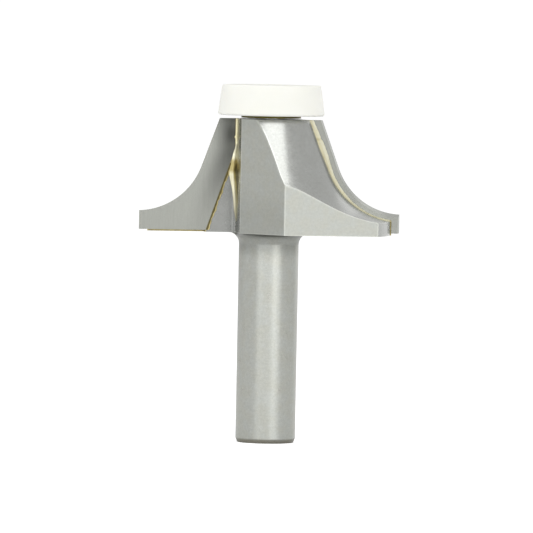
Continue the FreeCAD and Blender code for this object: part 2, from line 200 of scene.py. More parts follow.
corners = [(x * FLOOR_REACH * MM, y * FLOOR_REACH * MM, -FLOOR_DROP * MM)
           for x, y in ((-1, -1), (1, -1), (1, 1), (-1, 1))]
floor_mesh = bpy.data.meshes.new("floor")
floor_mesh.from_pydata(corners, [], [(0, 1, 2, 3)])
floor = bpy.data.objects.new("floor", floor_mesh)
scene.collection.objects.link(floor)
floor_material = bpy.data.materials.new("white_floor")
floor_material.use_nodes = True
w = Wires(floor_material.node_tree)
floor_surface = w.tree.nodes["Principled BSDF"]
floor_surface.inputs["Base Color"].default_value = FLOOR_WHITE
floor_surface.inputs["Roughness"].default_value = 0.9
floor_surface.inputs["Specular IOR Level"].default_value = 0.0
floor_surface.inputs["Emission Color"].default_value = WHITE
camera_ray = w.node("ShaderNodeLightPath").outputs["Is Camera Ray"]
w.put(floor_surface.inputs["Emission Strength"], w.times(camera_ray, FLOOR_LIFT))
floor_mesh.materials.append(floor_material)


# Cutter body
# One bar of tool steel: shank ground between centres, head turned to its flank, then milled to
# its flats and flutes and blasted to a dull finish. A highlight is painted along its edges, and
# light and shade are painted in its flutes and on its flank, flats and neck.

HEAD_BOTTOM = 44.45
HEAD_TOP = HEAD_BOTTOM + 24.2
BACK_FLAT = 14.25
CORE_FLAT = 8.4
CORE_TURN = math.radians(41.5)
FLUTE_WALL = 6.9
CORE_FLAT_END = (CORE_FLAT - FLUTE_WALL * math.cos(CORE_TURN)) / math.sin(CORE_TURN)
RAKE_PLANE = 2.0
WALL_TILT = math.radians(20)
COVE_RADIUS = 14.5
COVE_OVERRUN = 0.5
RIM_EDGE = 4.4
TOP_EDGE_RADIUS = 10.75
STEEL_SETBACK = 1.6
RIM_SETBACK = 1.9
COVE_Z = HEAD_BOTTOM + RIM_EDGE + math.sqrt(COVE_RADIUS ** 2 - COVE_OVERRUN ** 2)
COVE_X = (TOP_EDGE_RADIUS + (HEAD_TOP - COVE_Z) * math.tan(WALL_TILT)
          + COVE_RADIUS / math.cos(WALL_TILT))
STEEL_COVE = COVE_RADIUS + STEEL_SETBACK
STEEL_RIM = COVE_X - COVE_OVERRUN - RIM_SETBACK
STEEL_TOP = TOP_EDGE_RADIUS - STEEL_SETBACK / math.cos(WALL_TILT)
WALL_FOOT = COVE_Z - STEEL_COVE * math.sin(WALL_TILT)

# from where to where each mark fades: depths below a face, climbs up a wall, heights on the axis
FACE_FADE = (0.01, 0.03)
EDGE_HIGHLIGHT_FADE = (0.06, 0.26)
FLUTE_CORNER = (0.0, 3.5)
FLUX_SHADE_CLIMB = (1.0, 5.0)
FLUX_SHADE_HEIGHT = (47.5, 54.0)
RAKE_SCALE_HEIGHT = (49.0, 53.5)
CORE_DARKENING_HEIGHT = (47.0, 55.0)
NECK_SHADE_HEIGHT = (38.5, 42.5)
NECK_TOP_HEIGHT = (43.0, 44.3)
END_DARKENING_HEIGHT = (0.5, 1.1)

WARM_STEEL = (0.462, 0.468, 0.424, 1)
COOL_STEEL = (0.457, 0.470, 0.440, 1)
TURNED_STEEL = (0.456, 0.464, 0.446, 1)
FLUX_SHADE_TINT = (0.17, 0.155, 0.09, 1)
DARK_BROWN_END = (0.24, 0.20, 0.13, 1)


class Finish(Wires):
    """Wires of a material or of a shared effect, with patterns in millimetres."""

    def place(self):
        """Object coordinates in millimetres, whole and as three numbers."""
        scaled = self.tree.nodes.new("ShaderNodeVectorMath")
        scaled.operation = "SCALE"
        self.put(scaled.inputs[0], self.node("ShaderNodeTexCoord").outputs["Object"])
        scaled.inputs["Scale"].default_value = 1 / MM
        split = self.in_order(self.node("ShaderNodeSeparateXYZ"), scaled.outputs[0])
        return scaled.outputs[0], split.outputs[0], split.outputs[1], split.outputs[2]

    def turned_place(self, px, py, pz, turns, lines):
        """Coordinates on which a pattern runs in rings round the axis: turns along, lines across."""
        join = self.node("ShaderNodeCombineXYZ")
        angle = self.times(self.math("ARCTAN2", py, px), turns)
        self.in_order(join, angle, self.times(self.reach(px, py), lines), self.times(pz, lines))
        return join.outputs[0]

    def reach(self, a, b):
        """Root of the sum of two squares."""
        return self.math("SQRT", self.plus(self.math("POWER", a, 2), self.math("POWER", b, 2)))

    def ramp(self, value, low, high, out_low=0.0, out_high=1.0):
        """Smooth change from one value to another while the input goes from low to high."""
        node = self.node("ShaderNodeMapRange")
        node.interpolation_type = "SMOOTHSTEP"
        return self.in_order(node, value, low, high, out_low, out_high).outputs[0]

    def on_face(self, depth):
        """1 on a face and 0 away from it, from the depth below that face."""
        return self.ramp(self.size(depth), *FACE_FADE, 1.0, 0.0)

    def noise(self, vector, scale, detail, roughness):
        """Cloudy noise between 0 and 1."""
        return self.node("ShaderNodeTexNoise", Vector=vector, Scale=scale, Detail=detail,
                         Roughness=roughness).outputs["Fac"]

    def stretch(self, vector, scale, turn=(0, 0, 0)):
        """Coordinates scaled by different amounts along each axis, and turned."""
        return self.node("ShaderNodeMapping", Vector=vector, Scale=scale, Rotation=turn).outputs[0]

    def blend(self, share, a, b):
        """Colour between two colours."""
        node = self.node("ShaderNodeMix")
        node.data_type = "RGBA"
        for socket, value in zip((node.inputs[0], node.inputs[6], node.inputs[7]), (share, a, b)):
            self.put(socket, value)
        return node.outputs[2]

    def either(self, choice, a, b):
        """First number where the choice is 0, second where it is 1."""
        node = self.node("ShaderNodeMix")
        for socket, value in zip((node.inputs[0], node.inputs[2], node.inputs[3]), (choice, a, b)):
            self.put(socket, value)
        return node.outputs[0]

    def shade(self, colour, tone):
        """Colour times a tone."""
        node = self.tree.nodes.new("ShaderNodeVectorMath")
        node.operation = "SCALE"
        self.put(node.inputs[0], colour)
        self.put(node.inputs["Scale"], tone)
        return node.outputs[0]

    def vary(self, tone, cloud, amount):
        """Tone made lighter and darker by a cloud."""
        return self.times(tone, self.line(self.less(cloud, 0.5), amount, 1.0))

    def lift(self, tone, mask, amount):
        """Tone made lighter where a mask is 1, or darker if the amount is negative."""
        return self.times(tone, self.line(mask, amount, 1.0))

    def bump(self, height, strength, distance):
        """Normal of a surface that is raised by a height between 0 and 1."""
        return self.node("ShaderNodeBump", Strength=strength, Distance=distance * MM,
                         Height=height).outputs[0]

    def group(self, group, place):
        """Outputs of a shared effect at a place."""
        node = self.tree.nodes.new("ShaderNodeGroup")
        node.node_tree = group
        self.put(node.inputs["Place"], place)
        return node.outputs


def new_group(name, outputs):
    """Empty shared effect with a place as its input and named numbers as its outputs."""
    tree = bpy.data.node_groups.new(name, "ShaderNodeTree")
    tree.interface.new_socket(name="Place", in_out="INPUT", socket_type="NodeSocketVector")
    for label in outputs:
        tree.interface.new_socket(name=label, in_out="OUTPUT", socket_type="NodeSocketFloat")
    given = tree.nodes.new("NodeGroupInput").outputs["Place"]
    return Finish(tree), given, tree.nodes.new("NodeGroupOutput").inputs


# Shared effect: the dull grain that blasting and handling leave on steel
w, given, result = new_group("blasted_grain", ["Grain", "Mottle", "Patches"])
w.put(result["Grain"], w.noise(given, 5.2, 2, 0.6))
w.put(result["Mottle"], w.noise(given, 1.9, 2, 0.5))
w.put(result["Patches"], w.noise(given, 0.42, 3, 0.55))
blasted_grain = w.tree

# Shared effect: straight lines that a grinding wheel or a lathe tool leaves
w, given, result = new_group("grinding_lines", ["Fine", "Broad"])
w.put(result["Fine"], w.noise(given, 1.0, 4, 0.7))
w.put(result["Broad"], w.noise(w.stretch(given, (0.22, 0.22, 0.22)), 1.0, 2, 0.5))
grinding_lines = w.tree


def new_material(name, metallic=1.0):
    """Material with one Principled shader, and its wires."""
    material = bpy.data.materials.new(name)
    material.use_nodes = True
    shader = material.node_tree.nodes["Principled BSDF"]
    shader.inputs["Metallic"].default_value = metallic
    return material, shader.inputs, Finish(material.node_tree)


def dress(node_names, material):
    """Gives CAD nodes a material in their own slots."""
    for name in node_names:
        for slot in nodes[name].material_slots:
            slot.material = material


ground_steel, shader, w = new_material("ground_steel")
place, px, py, pz = w.place()
radius = w.reach(px, py)

# depth below each face of the head
back_depth = w.less(BACK_FLAT, w.size(py))
core_reach = w.plus(w.times(px, math.cos(CORE_TURN)), w.times(py, math.sin(CORE_TURN)))
core_side = w.times(py, w.math("SIGN", core_reach))
core_depth = w.most(w.size(w.less(CORE_FLAT, w.size(core_reach))), w.less(CORE_FLAT_END, core_side))
past_wall = w.less(w.size(px), FLUTE_WALL)
flute_depth = w.most(w.size(past_wall), w.less(w.size(py), CORE_FLAT_END))
cove_depth = w.less(w.reach(w.less(COVE_X, radius), w.less(COVE_Z, pz)), STEEL_COVE)
wall_reach = w.line(w.less(HEAD_TOP, pz), math.tan(WALL_TILT), STEEL_TOP)
wall_depth = w.times(w.less(wall_reach, radius), math.cos(WALL_TILT))
flank_depth = w.either(w.math("GREATER_THAN", pz, WALL_FOOT), cove_depth, wall_depth)
rim_depth = w.less(STEEL_RIM, radius)
under_depth = w.less(pz, HEAD_BOTTOM)
top_depth = w.less(HEAD_TOP, pz)

# edges: wherever two faces are both near, where a highlight is painted
depths = [w.size(depth) for depth in
          (back_depth, core_depth, flute_depth, flank_depth, rim_depth, under_depth, top_depth)]
edge_depth = 1.0
for i, first in enumerate(depths):
    for second in depths[i + 1:]:
        edge_depth = w.least(edge_depth, w.most(first, second))
in_head = w.ramp(pz, HEAD_BOTTOM - 0.05, HEAD_BOTTOM)
painted_edge_highlight = w.times(w.ramp(edge_depth, *EDGE_HIGHLIGHT_FADE, 1.0, 0.0), in_head)

# kinds of surface: milled flats, turned faces and ground shank
back_face = w.times(w.on_face(back_depth), in_head)
core_face = w.times(w.on_face(core_depth), in_head)
flats = w.most(back_face, core_face)
turned = w.times(w.less(1.0, flats), in_head)
shank = w.less(1.0, in_head)

grain = w.group(blasted_grain, place)
rings = w.group(grinding_lines, w.turned_place(px, py, pz, 2.0, 9.0))
tone = w.vary(1.0, grain["Grain"], w.line(flats, -0.18, 0.34))
tone = w.vary(tone, grain["Patches"], 0.12)
tone = w.vary(tone, grain["Mottle"], w.line(turned, -0.08, 0.24))
tone = w.vary(tone, rings["Fine"], w.line(flats, -0.12, 0.14))
# painted highlight along the edges
tone = w.line(painted_edge_highlight, 0.20, tone)

# rake face and flute: height up the flute's wall is measured from the rake plane
up_wall = w.plus(w.times(py, w.math("SIGN", px)), RAKE_PLANE)
flute_face = w.times(w.ramp(past_wall, -0.04, -0.02), w.ramp(past_wall, 0.1, 0.9, 1.0, 0.0),
                     w.ramp(w.size(py), CORE_FLAT_END - 0.02, CORE_FLAT_END, 1.0, 0.0), in_head)
# painted shade on the steel's rounded corner between the rake face and the flute's wall
painted_corner_shade = w.times(w.ramp(past_wall, 0.1, 0.5), w.ramp(up_wall, -0.03, 0.0),
                    w.ramp(up_wall, 1.0, 1.1, 1.0, 0.0), in_head)
rake_face = w.most(w.times(w.on_face(w.less(w.size(py), RAKE_PLANE)), in_head), painted_corner_shade)
# painted light: the flute's wall lighter low in its corner, and the flank lighter beside the tip's
# back at the seam
painted_corner_light = w.times(flute_face, w.ramp(past_wall, 0.0, 0.4, 1.0, 0.0),
                      w.ramp(up_wall, *FLUTE_CORNER, 1.0, 0.0))
painted_seam_light = w.times(turned, w.ramp(up_wall, -4.3, -3.3), w.ramp(up_wall, -2.0, -1.9, 1.0, 0.0))
tone = w.times(tone, w.plus(w.line(painted_corner_light, 0.9, 1.0), w.times(painted_seam_light, 0.5)))

# scale and painted shade: scale on the rake face with painted shade in its corner, flux with
# painted shade on the flute's wall beside the braze, the core flat darker towards its foot,
# painted shade on the neck under the head and on the flank, the shank's end darker and browner
# flux with painted shade on the flute's wall, low beside the braze
flux_and_shade = w.times(flute_face, w.ramp(up_wall, *FLUX_SHADE_CLIMB, 1.0, 0.0), w.ramp(pz, *FLUX_SHADE_HEIGHT))
neck_shade = w.line(w.ramp(pz, *NECK_SHADE_HEIGHT), 0.31, w.ramp(pz, *NECK_TOP_HEIGHT, 0.0, 0.22))
# painted shade: the turned flank a tenth darker away from the rim
flank_face = w.times(turned, w.ramp(radius, STEEL_RIM - 0.6, STEEL_RIM - 0.2, 1.0, 0.0))
end_edge = w.ramp(pz, *END_DARKENING_HEIGHT, 1.0, 0.0)
scale = w.times(rake_face, w.ramp(pz, *RAKE_SCALE_HEIGHT, 0.44, 0.50))
core_foot_darkening = w.ramp(pz, *CORE_DARKENING_HEIGHT, 0.09, 0.0)
for face, darkness in ((flux_and_shade, 0.6), (core_face, core_foot_darkening), (shank, neck_shade),
                       (flank_face, 0.10), (end_edge, 0.38)):
    scale = w.most(scale, w.times(face, darkness))
tone = w.lift(tone, scale, -1.0)
# painted light: the back flats and the shank three hundredths lighter
tone = w.lift(tone, w.most(back_face, w.times(shank, 0.6)), 0.03)

steel = w.blend(w.ramp(grain["Patches"], 0.35, 0.65), WARM_STEEL, COOL_STEEL)
steel = w.shade(w.blend(w.times(turned, 0.8), steel, TURNED_STEEL), tone)
# flux tint over the painted shade on the flute's wall
flux_shaded_steel = w.blend(w.times(flux_and_shade, 0.6), steel, FLUX_SHADE_TINT)
w.put(shader["Base Color"], w.blend(w.times(end_edge, 0.35), flux_shaded_steel, DARK_BROWN_END))
roughness = w.plus(w.times(flats, 0.52), w.plus(w.times(turned, 0.25), w.times(shank, 0.30)))
w.put(shader["Roughness"], w.line(w.less(grain["Patches"], 0.5), 0.12, roughness))
ring_relief = w.times(rings["Fine"], w.less(1.0, flats))
relief = w.plus(w.times(grain["Grain"], w.line(flats, 0.8, 0.2)), ring_relief)
w.put(shader["Normal"], w.bump(relief, 0.5, 0.008))
dress(["cutter_body"], ground_steel)


# Carbide tips
# Cemented carbide plates, darker than the steel, wheel-ground along the rake face and round the
# cutting edge, and brazed into their seats.

TIP_THICKNESS = 2.45
TIP_BACK = RAKE_PLANE + TIP_THICKNESS
JOINT_X = 7.27
JOINT_BEND = 62.3
JOINT_SLOPE = math.tan(math.radians(19.1))
DARKEST_REFLECTION_Z = 65.2
DARK_REFLECTION_REACH = (1.2, 5.8)
DARK_REFLECTION_HEIGHT = (45.5, 62.5)
DARKEST_REFLECTION_REACH = (1.0, 3.4)
TOE_START = (16.5, 20.0)
TOE_END = (23.2, 25.0)
BEHIND_RAKE = (RAKE_PLANE + 0.03, RAKE_PLANE + 0.06)
CARBIDE_GREY = (0.315, 0.322, 0.295)

carbide, shader, w = new_material("carbide")
place, px, py, pz = w.place()
reach = w.size(px)
depth = w.size(py)
lines = w.group(grinding_lines, w.stretch(place, (9.0, 9.0, 0.5), (0, math.radians(12), 0)))
grain = w.group(blasted_grain, place)
tone = w.vary(1.0, lines["Fine"], 0.27)
tone = w.vary(tone, lines["Broad"], 0.18)
tone = w.vary(tone, grain["Grain"], 0.10)

# painted dark reflection on the rake face beside the joint, strongest at its upper end
joint = w.line(w.most(w.less(JOINT_BEND, pz), 0.0), JOINT_SLOPE, JOINT_X)
from_joint = w.less(reach, joint)
painted_dark_reflection = w.times(w.ramp(from_joint, *DARK_REFLECTION_REACH, 1.0, 0.0), w.ramp(pz, *DARK_REFLECTION_HEIGHT, 0.18, 1.0),
               w.ramp(depth, *BEHIND_RAKE, 1.0, 0.0))
darkest_painted_reflection = w.times(w.ramp(w.size(w.less(pz, DARKEST_REFLECTION_Z)), 0.3, 2.6, 1.0, 0.0),
                 w.ramp(from_joint, *DARKEST_REFLECTION_REACH, 1.0, 0.0))
tone = w.lift(tone, painted_dark_reflection, w.line(darkest_painted_reflection, -0.13, -0.57))

# painted light and shade: back face a little darker, relief round the cutting edge and the tip's toe
# lighter
off_rake = w.ramp(depth, *BEHIND_RAKE)
on_back = w.ramp(depth, TIP_BACK - 0.01, TIP_BACK - 0.001)
toe = w.times(w.ramp(reach, *TOE_START), w.ramp(reach, *TOE_END, 1.0, 0.25))
tone = w.lift(tone, on_back, -0.12)
tone = w.lift(tone, w.times(off_rake, w.less(1.0, on_back)), 0.22)
tone = w.lift(tone, w.times(toe, off_rake), 0.18)
w.put(shader["Base Color"], w.shade(CARBIDE_GREY, tone))
w.put(shader["Roughness"], w.line(lines["Broad"], 0.12, 0.32))
w.put(shader["Normal"], w.bump(lines["Fine"], 0.4, 0.006))
dress(["carbide_tip_1", "carbide_tip_2"], carbide)


# Braze
# Silver braze that ran out of each joint and froze: a smooth bead along the back of the flank, a
# fillet in the flute's corner that ends in a drip, and a thin line down the leaning joint, with
# painted shade in its hollow on the carbide side, in the fillet and at the bead's foot.

JOINT_GAP = 0.127
SEAT_FILM = 0.08
TIP_BOTTOM = HEAD_BOTTOM + 0.4
STEEL_CORNER = 1.0
RIM_Z = COVE_Z - math.sqrt(STEEL_COVE ** 2 - (COVE_X - STEEL_RIM) ** 2)
UNDER_SKIN = 0.05

# height and distance from the axis of the fillet's foot, from the drip's end to the head's top
FOOT_LINE = ((46.7, 6.98), (48.0, 7.20), (49.5, 7.42), (51.5, 7.58), (53.8, 7.90), (55.5, 8.27),
             (56.6, 8.55), (57.4, 8.52), (58.7, 8.22), (60.2, 7.98), (61.5, 7.70), (62.4, 7.36),
             (63.2, 7.31), (68.6, 7.33))
DRIP_END = FOOT_LINE[0][0]
FOOT_STEPS = 190
SMOOTHING_STEPS = 13
FILLET_RIM = 0.12
FILLET_RIM_WIDTH = 0.35
FILLET_CLIMB = 2.1
MERGE_STEPS = 1e8
SHARP_ANGLE = math.radians(50)

# joint line across, from the carbide to the steel and back below the surface: offset, height, painted
# shade
JOINT_LINE_X = np.array([0.03, -0.04, -0.12, -0.20, -0.27, -0.33, -0.40, -0.47, -0.53, -0.54,
                         -0.2, 0.03])
JOINT_LINE_Y = np.array([0.0, 0.025, 0.02, 0.015, 0.025, 0.045, 0.055, 0.04, 0.0, -0.05,
                         -0.05, -0.05])
JOINT_LINE_SHADE = np.array([0.9, 1, 1, 1, 1, 0.75, 0.45, 0.35, 0.4, 0.3, 0.3, 0.9])
JOINT_LINE_TOP = 59.2
JOINT_LINE_SCALE = 1.15

BEAD_WIDTH = 0.52
BEAD_DEPTH = 0.50
BEAD_POWER = 1.02

# middle and half width of each swell, nick and pool along the axis
BEAD_SWELL = (62.2, 3.4)
BEAD_NICK = (64.55, 0.28)
FOOT_NICK = (64.7, 0.25)
SHADED_POOL = (58.7, 1.9)

PALE_BRAZE = (0.84, 0.80, 0.57, 1)
BRIGHT_BRAZE = (0.94, 0.92, 0.74, 1)
TARNISH_AND_SHADE_BRAZE = (0.50, 0.42, 0.19, 1)
SHADE_AND_FLUX_BLACK = (0.10, 0.085, 0.038, 1)


def share(value, start, end):
    """Share of the way from start to end, kept between 0 and 1."""
    return np.clip((value - start) / (end - start), 0, 1)


def swelling(value, middle, width):
    """Bell curve: 1 at its middle, falling off over its width."""
    return np.exp(-((value - middle) / width) ** 2)


def dome(value, middle, half_width):
    """Parabola: 1 at its middle and 0 from its half width outwards."""
    return np.clip(1 - ((value - middle) / half_width) ** 2, 0, 1)


def tube(sections):
    """Points and faces of a closed body: rows of closed outlines, each end drawn to its middle."""
    first = np.broadcast_to(sections[0].mean(0), sections[0].shape)
    last = np.broadcast_to(sections[-1].mean(0), sections[-1].shape)
    grid = np.concatenate((first[None], sections, last[None]))
    rows, columns = grid.shape[:2]
    index = np.arange(rows * columns).reshape(rows, columns)
    beside = np.roll(index, -1, axis=1)
    quads = np.stack((index[:-1], beside[:-1], beside[1:], index[1:]), -1).reshape(-1, 4)
    return grid.reshape(-1, 3), quads


def turned_body(radius, level, count, centre=(0, 0)):
    """Points and faces of a turned body: a closed profile of radii and levels, swept once round.

    Radius and level may change with the angle too, when they have one row for each angle."""
    angle = np.linspace(0, 2 * math.pi, count, endpoint=False)[:, None]
    radius, level = radius + 0 * angle, level + 0 * angle
    x = centre[0] + radius * np.cos(angle)
    y = centre[1] + radius * np.sin(angle)
    points = np.stack((x, y, level), -1)
    index = np.arange(points.shape[0] * points.shape[1]).reshape(points.shape[:2])
    along = np.roll(index, -1, axis=1)
    quads = np.stack((index, np.roll(index, -1, axis=0), np.roll(along, -1, axis=0), along), -1)
    return points.reshape(-1, 3), quads.reshape(-1, 4)


def make_piece(name, bodies, material, tarnish_and_shade=None):
    """Smooth mesh of one or more bodies; points that fall together become one, so poles close."""
    starts = np.cumsum([0] + [len(points) for points, quads in bodies[:-1]])
    points = np.concatenate([points for points, quads in bodies]) * MM
    quads = np.concatenate([quads + start for start, (corners, quads) in zip(starts, bodies)])
    rounded = np.round(points * MERGE_STEPS).astype(np.int64)
    first, back = np.unique(rounded, axis=0, return_index=True, return_inverse=True)[1:]
    quads = back.reshape(-1)[quads]
    same = quads == np.roll(quads, -1, axis=1)
    fours = quads[same.sum(1) == 0]
    threes = quads[same.sum(1) == 1][~same[same.sum(1) == 1]].reshape(-1, 3)
    mesh = bpy.data.meshes.new(name)
    mesh.vertices.add(len(first))
    mesh.vertices.foreach_set("co", points[first].ravel())
    mesh.loops.add(fours.size + threes.size)
    mesh.loops.foreach_set("vertex_index", np.concatenate((fours.ravel(), threes.ravel())))
    mesh.polygons.add(len(fours) + len(threes))
    sizes = np.concatenate((np.full(len(fours), 4), np.full(len(threes), 3)))
    mesh.polygons.foreach_set("loop_start", np.cumsum(sizes) - sizes)
    mesh.polygons.foreach_set("loop_total", sizes)
    mesh.update(calc_edges=True)
    mesh.validate()
    mesh.shade_smooth()
    mesh.set_sharp_from_angle(angle=SHARP_ANGLE)
    if tarnish_and_shade is not None:
        mesh.attributes.new("tarnish_and_shade", "FLOAT", "POINT").data.foreach_set("value", tarnish_and_shade[first])
    mesh.materials.append(material)
    piece = bpy.data.objects.new(name, mesh)
    scene.collection.objects.link(piece)
    return piece


def joint_x(z):
    """Inner edge of the tip on its rake face: upright above the bend, leaning outwards below."""
    return JOINT_X + np.maximum(0, JOINT_BEND - z) * JOINT_SLOPE


def steel_radius(z):
    """Turned flank of the steel at a height: rim cylinder, then cove, then leaning wall."""
    cove = COVE_X - np.sqrt(np.maximum(0, STEEL_COVE ** 2 - (COVE_Z - z) ** 2))
    wall = STEEL_TOP + (HEAD_TOP - z) * math.tan(WALL_TILT)
    return np.where(z > WALL_FOOT, wall, np.where(z > RIM_Z, cove, STEEL_RIM))


def corner_fillet():
    """Fillet in the flute's corner: for each height z, its foot keeps to a smoothed line through
    the points FOOT_LINE, and from a rounded rim it rises over the corner's own radius as a power
    of the way to the wall, up which it climbs."""
    z = np.linspace(HEAD_TOP, DRIP_END, FOOT_STEPS)
    window = np.hanning(SMOOTHING_STEPS)[1:-1] / np.hanning(SMOOTHING_STEPS).sum()
    foot = np.pad(np.interp(z, *zip(*FOOT_LINE)), len(window) // 2, mode="edge")
    foot = np.convolve(foot, window, "valid")[:, None]
    z = z[:, None]
    foot = foot + 0.22 * swelling(z, *FOOT_NICK)
    filled = share(z, 63.4, 62.6)
    ripple = 1 + 0.05 * np.sin(z * 0.9) + 0.03 * np.sin(z * 2.3)
    climb = STEEL_CORNER + FILLET_CLIMB * share(z, DRIP_END, DRIP_END + 8.5) ** 0.7
    climb = np.maximum(0.06, climb * ripple - STEEL_CORNER * filled)
    rim = FILLET_RIM * np.minimum(1, (foot - FLUTE_WALL) / 0.3)
    rim = rim * np.interp(z, (60.5, 62.5), (1.0, 0.35))

    # t goes from the foot to the wall, with more points in the rim
    t = np.concatenate((np.linspace(0, 0.2, 9)[:-1], np.linspace(0.2, 1, 26)))[None, :]
    x = foot - (foot - FLUTE_WALL) * t
    inset = np.clip(FLUTE_WALL + STEEL_CORNER - x, 0, STEEL_CORNER)
    corner = (STEEL_CORNER - np.sqrt(STEEL_CORNER ** 2 - inset ** 2)) * filled
    rim_share = np.minimum(0.6, FILLET_RIM_WIDTH / (foot - FLUTE_WALL))
    rounded = rim * np.sqrt(1 - (1 - np.minimum(t / rim_share, 1)) ** 2)
    rise = np.maximum(0, t - rim_share) / (1 - rim_share)
    height = corner + rounded + climb * rise ** np.interp(z, (60.5, 62.5), (3.2, 2.0))
    top = height[:, -1:]
    wall_x = np.full_like(z, FLUTE_WALL - 0.03)
    x = np.concatenate((x, wall_x, wall_x, foot), 1)
    height = np.concatenate((height, top, top * 0 - UNDER_SKIN, corner[:, :1] - UNDER_SKIN), 1)
    sections = np.stack((x, height - RAKE_PLANE, z + 0 * x), -1)

    # painted shade, dark as flux: along the wall and in the pool at the joints' meeting; darker also
    # in the fillet's lower part and on the upper line's foot
    start = np.interp(z, (49, 52, 56, 58.5), (1.0, 0.80, 0.56, 0.50))
    dark = 0.8 * share(t, start, start + 0.25)
    dark = dark * np.interp(z, (49, 53, 57.5, 60.2), (0.55, 1, 1, 0)) ** 1.5
    dark = dark + 0.38 * dome(z, *SHADED_POOL) * (t < 0.9) + 0.12 * share(z, 60, 59)
    dark = dark + 0.45 * share(z, 62.3, 63.1) * share(t, 0.4, 0.0)
    dark = np.concatenate((dark, dark[:, -1:], z * 0, z * 0), 1)
    return tube(sections[::-1]), dark[::-1]


def joint_line():
    """Line down the leaning joint: a low crest on the steel side and a hollow beside it, darkened with
    painted shade.
    """
    z = np.linspace(JOINT_LINE_TOP, TIP_BOTTOM, 90)[:, None]
    swell = 1 + 0.15 * np.sin(z * 1.7) + 0.1 * np.sin(z * 4.9)
    x = joint_x(z) + JOINT_LINE_SCALE * JOINT_LINE_X * swell
    sections = np.stack((x, JOINT_LINE_Y - RAKE_PLANE + 0 * z, z + 0 * x), -1)
    return tube(sections[::-1]), (JOINT_LINE_SHADE + 0 * z)[::-1]


def back_bead():
    """Bead along the flank, swept from the rim's foot over the cove to the head's top: across it,
    distance from the steel and distance from the tip's back change as opposite powers."""
    rim_z = np.linspace(HEAD_BOTTOM, RIM_Z, 14)
    angle = np.linspace(math.acos((COVE_X - STEEL_RIM) / STEEL_COVE), WALL_TILT, 90)
    wall_z = np.linspace(WALL_FOOT, HEAD_TOP, 80)[1:]
    turn = np.linspace(0, angle[0], 8)[1:-1]
    z = np.concatenate((rim_z, turn * 0 + RIM_Z, COVE_Z - STEEL_COVE * np.sin(angle), wall_z))[:, None]
    radius = np.concatenate((rim_z * 0 + STEEL_RIM, turn * 0 + STEEL_RIM,
                             COVE_X - STEEL_COVE * np.cos(angle), steel_radius(wall_z)))[:, None]
    tilt = np.concatenate((rim_z * 0, turn, angle, wall_z * 0 + WALL_TILT))[:, None]

    swell = swelling(z, *BEAD_SWELL)
    nick = swelling(z, *BEAD_NICK)
    ripple = 0.02 * np.sin(z * 2.3) + 0.015 * np.sin(z * 6.1 + 1)
    # thinner on the rim below its corner and in the cove's first row, so the corner between swells
    on_rim = np.zeros(z.shape)
    on_rim[:len(rim_z) - 1] = 1
    on_rim[len(rim_z) + len(turn)] = 1
    out = BEAD_WIDTH + 0.30 * swell - 0.09 * nick + ripple
    out = out - 0.22 * share(z, 54, 49) - 0.06 * on_rim
    side = BEAD_DEPTH + 0.40 * swell - 0.06 * nick + ripple - 0.15 * on_rim
    u = np.linspace(0, 1, 14)[None, :]
    inside = out * 0 + 0.03 - TIP_BACK
    away = np.concatenate((out * u ** BEAD_POWER, out, out * 0 - 0.06, out * 0 - 0.06), 1)
    skin = -TIP_BACK - side * (1 - u) ** BEAD_POWER
    depth = np.concatenate((skin, inside, inside, -TIP_BACK - side), 1)
    rho = radius + away * np.cos(tilt)
    level = np.clip(z + away * np.sin(tilt), HEAD_BOTTOM, HEAD_TOP)
    sections = np.stack((np.sqrt(rho ** 2 - depth ** 2), depth, level), -1)
    # painted shade at the bead's foot on the steel; the bead darker also on the rim and at the nick
    foot_shade = 0.20 * dome(u, 0.0, 0.7) + 0.2 * on_rim
    dark = np.concatenate((foot_shade, z * 0, z * 0 + 0.5, z * 0 + 0.5), 1)
    return tube(sections), np.clip(dark + 0.12 * nick + 0.15 * on_rim, 0, 1)


def seat_film(beside):
    """Thin film in the seat: beside the tip's inner edge, or behind the tip as far as the flank."""
    z = np.linspace(HEAD_BOTTOM, HEAD_TOP, 120)[:, None]
    seat_edge = JOINT_X - JOINT_GAP + (JOINT_BEND - z) * JOINT_SLOPE
    left = np.maximum(FLUTE_WALL, seat_edge)
    if beside:
        right, front, rear = joint_x(z), -RAKE_PLANE - 0.01, -TIP_BACK
    else:
        right = np.sqrt(steel_radius(z) ** 2 - TIP_BACK ** 2)
        front, rear = -TIP_BACK, -TIP_BACK - SEAT_FILM
    x = np.concatenate((left, left, right, right), 1)
    y = np.array([front, rear, rear, front]) + 0 * x
    return tube(np.stack((x, y, z + 0 * x), -1)), x * 0 + 0.65


silver_braze, shader, w = new_material("silver_braze")
place = w.place()[0]
clouds = w.noise(place, 0.7, 3, 0.6)
spots = w.noise(place, 3.2, 2, 0.6)
tarnish_and_shade_node = w.node("ShaderNodeAttribute")
tarnish_and_shade_node.attribute_name = "tarnish_and_shade"
# the attribute holds tarnish and film colour, and painted shade in the fillet, the joint line's hollow
# and the bead's foot
dark_share = w.line(w.less(clouds, 0.5), 0.40, tarnish_and_shade_node.outputs["Fac"])
colour = w.blend(w.ramp(clouds, 0.30, 0.70), PALE_BRAZE, BRIGHT_BRAZE)
colour = w.blend(w.ramp(dark_share, 0.0, 0.45), colour, TARNISH_AND_SHADE_BRAZE)
w.put(shader["Base Color"], w.blend(w.ramp(dark_share, 0.45, 1.0), colour, SHADE_AND_FLUX_BLACK))
w.put(shader["Roughness"], w.ramp(spots, 0.3, 0.7, 0.34, 0.46))
w.put(shader["Normal"], w.bump(w.plus(clouds, w.times(spots, 0.3)), 0.15, 0.01))

